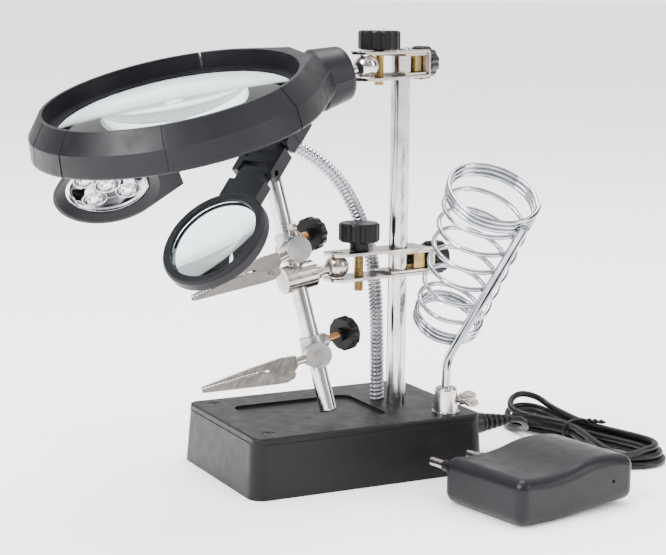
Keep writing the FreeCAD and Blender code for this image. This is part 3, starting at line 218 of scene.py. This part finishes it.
CASE_BLACK = moulded_plastic("case_black", (0.0050, 0.0046, 0.0056), 0.36, 2600, 0.00010, 0.22)
SATIN_BLACK = moulded_plastic("satin_black", (0.0056, 0.0052, 0.0074), 0.38, 3200, 0.00004, 0.24)
KNOB_BLACK = moulded_plastic("knob_black", (0.0035, 0.0035, 0.0038), 0.34, 2400, 0.00006, 0.20)
ADAPTER_BLACK = moulded_plastic("adapter_black", (0.0056, 0.0050, 0.0070), 0.34, 2200, 0.00010, 0.24)
CHROME = plated_metal("chrome", (0.60, 0.57, 0.56), 0.05, (1, 1, 14))
NICKEL = plated_metal("nickel", (0.50, 0.455, 0.42), 0.12, (1, 6, 1), 0.06)
BRUSHED_NICKEL = plated_metal("brushed_nickel", (0.46, 0.44, 0.43), 0.24, (1, 1, 1), 0.08)
STEEL_WIRE = plated_metal("steel_wire", (0.52, 0.53, 0.58), 0.08)
SPIRAL_STEEL = plated_metal("spiral_steel", (0.50, 0.50, 0.54), 0.14)
BRASS = plated_metal("brass", (0.42, 0.29, 0.11), 0.22)
COPPER = plated_metal("coppered", (0.50, 0.25, 0.12), 0.25)
BLACKENED_STEEL = plated_metal("blackened_steel", (0.10, 0.10, 0.11), 0.28)
REFLECTOR = plated_metal("reflector", (0.80, 0.80, 0.83), 0.05)
LENS_GLASS = clear_glass("lens_glass", (0.80, 0.95, 0.95))
LED_RESIN = clear_glass("led_resin", (0.93, 0.93, 0.90), 0.02)
CORD_BLACK = rubber("cord_black", (0.0045, 0.0045, 0.0050), 0.34)
FOOT_RUBBER = rubber("foot_rubber", (0.012, 0.012, 0.012), 0.75)
CELL_WRAP = plated_metal("cell_wrap", (0.20, 0.20, 0.23), 0.30)
BOARD_GREEN = moulded_plastic("board_green", (0.02, 0.12, 0.05), 0.35, 900, 0.00005)

FINISHES = {
    CASE_BLACK: ["base_case", "top_cover", "battery_door", "switch_slider"],
    SATIN_BLACK: ["housing_upper", "housing_lower", "swing_mount", "swing_link", "small_frame",
                  "lamp_shade"],
    KNOB_BLACK: ["upper_clamp_knob", "lower_clamp_knob", "upper_lock_knob", "lower_lock_knob",
                 "upper_block_knob", "lower_block_knob"],
    ADAPTER_BLACK: ["adapter_case"],
    CHROME: ["post", "cross_rod", "upper_ball_stud", "adapter_pins", "iron_socket"],
    NICKEL: ["upper_bracket", "lower_bracket", "upper_shoe", "lower_shoe", "lower_ball_stud",
             "fixing_nuts", "holder_wing_screw", "clip_wing_screw", "upper_clip_fixed_jaw",
             "lower_clip_fixed_jaw", "upper_clip_moving_jaw", "lower_clip_moving_jaw",
             "upper_clip_pin_and_spring", "lower_clip_pin_and_spring"],
    BRUSHED_NICKEL: ["upper_block", "lower_block"],
    BLACKENED_STEEL: ["cover_screws"],
    STEEL_WIRE: ["iron_coil", "iron_support"],
    BRASS: ["upper_block_nut", "lower_block_nut", "upper_clamp_screw", "lower_clamp_screw"],
    COPPER: ["upper_block_screw", "lower_block_screw"],
    REFLECTOR: ["lamp_reflector"],
    LENS_GLASS: ["main_lens", "small_lens"],
    LED_RESIN: ["lamp_leds"],
    CORD_BLACK: ["dc_plug", "dc_jack", "adapter_strain_relief", "cord_lead", "cord_hank"],
    FOOT_RUBBER: ["rubber_feet"],
    CELL_WRAP: ["battery_cells"],
    BOARD_GREEN: ["driver_board"],
    SPIRAL_STEEL: ["gooseneck"],
}


def finish_node(obj, material, angle=32):
    """Give a CAD node its material and shade it smooth except across real edges."""
    obj.data.materials.clear()
    obj.data.materials.append(material)
    obj.data.polygons.foreach_set("use_smooth", [True] * len(obj.data.polygons))
    obj.data.set_sharp_from_angle(angle=math.radians(angle))


for surface, names in FINISHES.items():
    for name in names:
        finish_node(NODES[name], surface)


# ---------------------------------------------------------------- making pieces

def new_object(name, data, material):
    obj = bpy.data.objects.new(name, data)
    bpy.context.scene.collection.objects.link(obj)
    obj.data.materials.append(material)
    return obj


def spline_points(points, samples):
    """Points along the NURBS spline that a route controls, evenly spaced, with its length."""
    curve = nurbs("scratch", points)
    curve.resolution_u = 24
    obj = bpy.data.objects.new("scratch", curve)
    mesh = bpy.data.meshes.new_from_object(obj)
    line = [v.co.copy() for v in mesh.vertices]
    bpy.data.objects.remove(obj)
    bpy.data.meshes.remove(mesh)
    bpy.data.curves.remove(curve)
    travelled = [0.0]
    for before, after in zip(line, line[1:]):
        travelled.append(travelled[-1] + (after - before).length)
    spaced = []
    index = 0
    for sample in range(samples + 1):
        target = travelled[-1] * sample / samples
        while index < len(line) - 2 and travelled[index + 1] < target:
            index += 1
        share = (target - travelled[index]) / max(1e-12, travelled[index + 1] - travelled[index])
        spaced.append(line[index].lerp(line[index + 1], min(1.0, share)))
    return spaced, travelled[-1]


def nurbs(name, points, thickness=0.0):
    """A smooth curve with a route's points as its control points."""
    curve = bpy.data.curves.new(name, "CURVE")
    curve.dimensions = "3D"
    spline = curve.splines.new("NURBS")
    spline.points.add(len(points) - 1)
    for control, point in zip(spline.points, points):
        control.co = (*point, 1)
    spline.order_u = 3
    spline.use_endpoint_u = True
    curve.bevel_depth = thickness
    curve.bevel_resolution = 6
    curve.resolution_u = 10
    curve.use_fill_caps = True
    return curve


def sweep(name, line, radius_at, sides, material):
    """A closed tube along a line; radius_at(distance, angle) gives its wall."""
    mesh = bpy.data.meshes.new(name)
    vertices, faces = [], []
    tangent = (line[1] - line[0]).normalized()
    across = tangent.orthogonal().normalized()
    distance = 0.0
    for index, point in enumerate(line):
        ahead = line[min(index + 1, len(line) - 1)] - line[max(index - 1, 0)]
        turn = tangent.rotation_difference(ahead.normalized())
        tangent = ahead.normalized()
        across = (turn @ across).normalized()
        other = tangent.cross(across)
        if index:
            distance += (point - line[index - 1]).length
        for side in range(sides):
            angle = 2 * math.pi * side / sides
            reach = radius_at(distance, angle)
            vertices.append(point + (across * math.cos(angle) + other * math.sin(angle)) * reach)
    for ring in range(len(line) - 1):
        for side in range(sides):
            following = (side + 1) % sides
            low, high = ring * sides, (ring + 1) * sides
            faces.append((low + side, low + following, high + following, high + side))
    faces.append(tuple(range(sides))[::-1])
    faces.append(tuple((len(line) - 1) * sides + side for side in range(sides)))
    mesh.from_pydata(vertices, [], faces)
    mesh.polygons.foreach_set("use_smooth", [True] * len(mesh.polygons))
    mesh.set_sharp_from_angle(angle=math.radians(60))
    return new_object(name, mesh, material)


# ---------------------------------------------------------------- cord

CORD_DIAMETER = 2.8
CORD_EXIT = (80.0, -10.0, 13.0)
CORD_LEAD = [CORD_EXIT, (85.2, -9.9, 12.8), (90.6, -7.2, 9.6), (95.0, -1.6, 6.0), (97.6, 5.0, 3.4)]
CORD_TAIL = [(106.0, -59.0, 5.4), (99.0, -59.4, 7.6), (93.0, -60.8, 10.2), (87.0, -61.7, 10.5)]
TIE = (115.0, -12.0)
FAR_LOBE, NEAR_LOBE = (110.0, 16.0), (116.0, -47.0)
STRAND_STEP = 2.9

# Each turn of the hank: the radius of its two loops, its column and row inside the tie, and how
# far its far loop springs up off the bench.
TURNS = [(12.6, 16.0, 1, 0, 0.0), (9.6, 12.2, 0, 0, 1.0), (12.0, 14.4, 1, 1, 3.5),
         (8.6, 9.6, 0, 1, 2.0), (10.8, 12.4, 1, 2, 6.5)]


def loop_points(centre, radius, angles, height, lift=0.0):
    x, y = centre
    points = []
    for angle in angles:
        turn = math.radians(angle)
        rise = lift * max(0.0, math.sin(turn))
        points.append((x + radius * math.cos(turn), y + radius * math.sin(turn), height + rise))
    return points


def hank_points():
    """The cord's own turns: up the left of the tie, round the far loop, down and round the near one."""
    points = []
    for number, (far_radius, near_radius, column, row, lift) in enumerate(TURNS):
        height = 1.6 + row * STRAND_STEP
        across = STRAND_STEP * (column + 0.5)
        if number:
            points.append((TIE[0] - across, TIE[1] - 5, height))
            points.append((TIE[0] - across, TIE[1] + 5, height))
        points += loop_points(FAR_LOBE, far_radius, (175, 135, 90, 45, 5), height, lift)
        points.append((TIE[0] + across, TIE[1] + 5, height))
        points.append((TIE[0] + across, TIE[1] - 5, height))
        round_near = (5, -45, -90) if number == len(TURNS) - 1 else (5, -45, -90, -135, -185)
        points += loop_points(NEAR_LOBE, near_radius, round_near, height)
    return points


def make_cord():
    route = [mm(*p) for p in CORD_LEAD + hank_points() + CORD_TAIL]
    length = spline_points(route, 400)[1]
    cord = new_object("power_cord", nurbs("power_cord", route, CORD_DIAMETER * MM / 2), CORD_BLACK)
    return cord, length


def make_tie():
    """A black wire tie: a band round the bundle, then its two ends twisted into a stub."""
    half_width, low, high = 7.3, 0.7, 9.6
    middle = (low + high) / 2
    band = []
    for step in range(17):
        angle = 2 * math.pi * step / 16 + 0.9
        band.append(mm(TIE[0] + half_width * math.cos(angle), TIE[1] + 0.5 * math.sin(angle * 0.5),
                       middle + (high - low) / 2 * math.sin(angle)))
    ties = [sweep("tie_band", band, lambda s, a: 0.55 * MM * (1 + 0.4 * abs(math.cos(a))), 10, CORD_BLACK)]
    start, end = mm(TIE[0] + 4.0, TIE[1] - 1.0, 9.2), mm(TIE[0] + 6.5, TIE[1] - 10.5, 10.2)
    for strand in (0, 1):
        line = []
        for step in range(25):
            share = step / 24
            angle = 2 * math.pi * 1.5 * share + math.pi * strand
            centre = start.lerp(end, share)
            line.append(centre + mm(0.5 * math.cos(angle), 0, 0.5 * math.sin(angle)))
        ties.append(sweep(f"tie_end_{strand}", line, lambda s, a: 0.55 * MM, 8, CORD_BLACK))
    return ties


power_cord, cord_length = make_cord()
tie_pieces = make_tie()
for tie_piece in tie_pieces:
    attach(tie_piece, "stand")
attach(power_cord, "stand")
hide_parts("cord_lead", "cord_hank")

# ---------------------------------------------------------------- gooseneck

GOOSENECK_RADIUS = 3.0
GOOSENECK_ROUTE = [
    (24.4, 7.0, 14.0), (24.2, 7.0, 50.0), (21.6, 7.0, 84.0), (15.5, 7.0, 101.0), (5.5, 6.0, 117.5),
    (-7.0, 6.0, 128.0), (-21.0, 7.0, 135.0), (-35.5, 0.0, 139.0), (-52.5, -15.3, 136.2),
    (-63.7, -10.2, 132.9),
]
SPIRAL_PITCH = 1.75


def make_gooseneck():
    """The flexible neck: interlocked strip wound in a spiral, so that each turn shows a ridge."""
    def wall(distance, angle):
        phase = (distance / (SPIRAL_PITCH * MM) - angle / (2 * math.pi)) % 1.0
        ridge = math.sin(math.pi * min(1.0, phase / 0.8)) if phase < 0.8 else -0.6
        return MM * (GOOSENECK_RADIUS - 0.38 + 0.38 * ridge)

    line, length = spline_points([mm(*p) for p in GOOSENECK_ROUTE], 1100)
    neck = sweep("gooseneck_spiral", line, wall, 22, SPIRAL_STEEL)
    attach(neck, "stand")
    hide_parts("gooseneck")


make_gooseneck()

# ---------------------------------------------------------------- stage

def make_stage():
    mesh = bpy.data.meshes.new("floor")
    size = 60.0
    corners = [(-size, -size, 0), (size, -size, 0), (size, size, 0), (-size, size, 0)]
    mesh.from_pydata(corners, [], [(0, 1, 2, 3)])
    look = Shader("floor_white", (0.93, 0.93, 0.93), 0.6)
    look.drive("Roughness", look.ramp(look.noise(3, 3), 0.55, 0.65))
    floor = new_object("floor", mesh, look.material)


DARK_CARD_HEIGHT = 0.75
SURROUNDINGS = [(0.0, 1.0), (0.30, 1.0), (0.36, 0.03), (0.52, 0.03), (0.56, 0.9), (0.66, 0.9),
                (0.70, 0.05), (0.80, 0.05), (0.85, 1.0), (0.96, 0.4)]


def make_world(strength, reflected):
    """A white studio; shiny surfaces see it dimmed, with dark cards on either side for contrast."""
    world = bpy.data.worlds.new("studio")
    world.use_nodes = True
    tree = world.node_tree
    direction = tree.nodes.new("ShaderNodeTexCoord").outputs["Generated"]

    def vector_math(operation, *values):
        made = tree.nodes.new("ShaderNodeVectorMath")
        made.operation = operation
        for socket, value in zip(made.inputs, values):
            socket.default_value = value
        tree.links.new(direction, made.inputs[0])
        return made

    def ramp(source, stops):
        made = tree.nodes.new("ShaderNodeValToRGB")
        while len(made.color_ramp.elements) < len(stops):
            made.color_ramp.elements.new(0.5)
        for element, (position, value) in zip(made.color_ramp.elements, stops):
            element.position = position
            element.color = (*[value * reflected] * 3, 1)
        tree.links.new(source, made.inputs["Fac"])
        return made.outputs["Color"]

    def mix(factor, first, second):
        made = tree.nodes.new("ShaderNodeMix")
        made.data_type = "RGBA"
        tree.links.new(factor, made.inputs["Factor"])
        tree.links.new(first, made.inputs["A"])
        tree.links.new(second, made.inputs["B"])
        return made.outputs["Result"]

    azimuth = math.radians(CAMERA_AZIMUTH)
    towards_camera = (math.sin(azimuth) / 2, -math.cos(azimuth) / 2, 0)
    facing = vector_math("DOT_PRODUCT", (0, 0, 0), towards_camera).outputs["Value"]
    shifted = tree.nodes.new("ShaderNodeMath")
    shifted.operation = "ADD"
    shifted.inputs[1].default_value = 0.5
    tree.links.new(facing, shifted.inputs[0])
    around = ramp(shifted.outputs["Value"], SURROUNDINGS)
    height = vector_math("DOT_PRODUCT", (0, 0, 0), (0, 0, 1)).outputs["Value"]
    overhead = ramp(height, [(DARK_CARD_HEIGHT - 0.1, 0.0), (DARK_CARD_HEIGHT, 1.0)])
    white = tree.nodes.new("ShaderNodeRGB").outputs["Color"]
    white.default_value = (1, 1, 1, 1)
    lighter = tree.nodes.new("ShaderNodeMix")
    lighter.data_type = "RGBA"
    lighter.blend_type = "LIGHTEN"
    lighter.inputs["Factor"].default_value = 1.0
    tree.links.new(around, lighter.inputs["A"])
    tree.links.new(overhead, lighter.inputs["B"])
    glossy_ray = tree.nodes.new("ShaderNodeLightPath").outputs["Is Glossy Ray"]
    background = tree.nodes["Background"]
    tree.links.new(mix(glossy_ray, white, lighter.outputs["Result"]), background.inputs["Color"])
    background.inputs["Strength"].default_value = strength
    bpy.context.scene.world = world


def area_light(name, at, aim, size, power):
    data = bpy.data.lights.new(name, "AREA")
    data.shape = "RECTANGLE"
    data.size, data.size_y = size
    data.energy = power
    light = bpy.data.objects.new(name, data)
    light.location = at
    light.rotation_euler = (Vector(aim) - Vector(at)).to_track_quat("-Z", "Y").to_euler()
    bpy.context.scene.collection.objects.link(light)


make_stage()
make_world(2.7, 0.42)
area_light("key", (-1.1, -0.3, 1.0), (0, 0, 0.1), (0.7, 0.7), 34)
area_light("fill", (0.9, -1.0, 0.7), (0, 0, 0.1), (0.5, 0.9), 10)
area_light("top", (0.1, 0.3, 1.4), (0, 0, 0.1), (0.9, 0.9), 26)
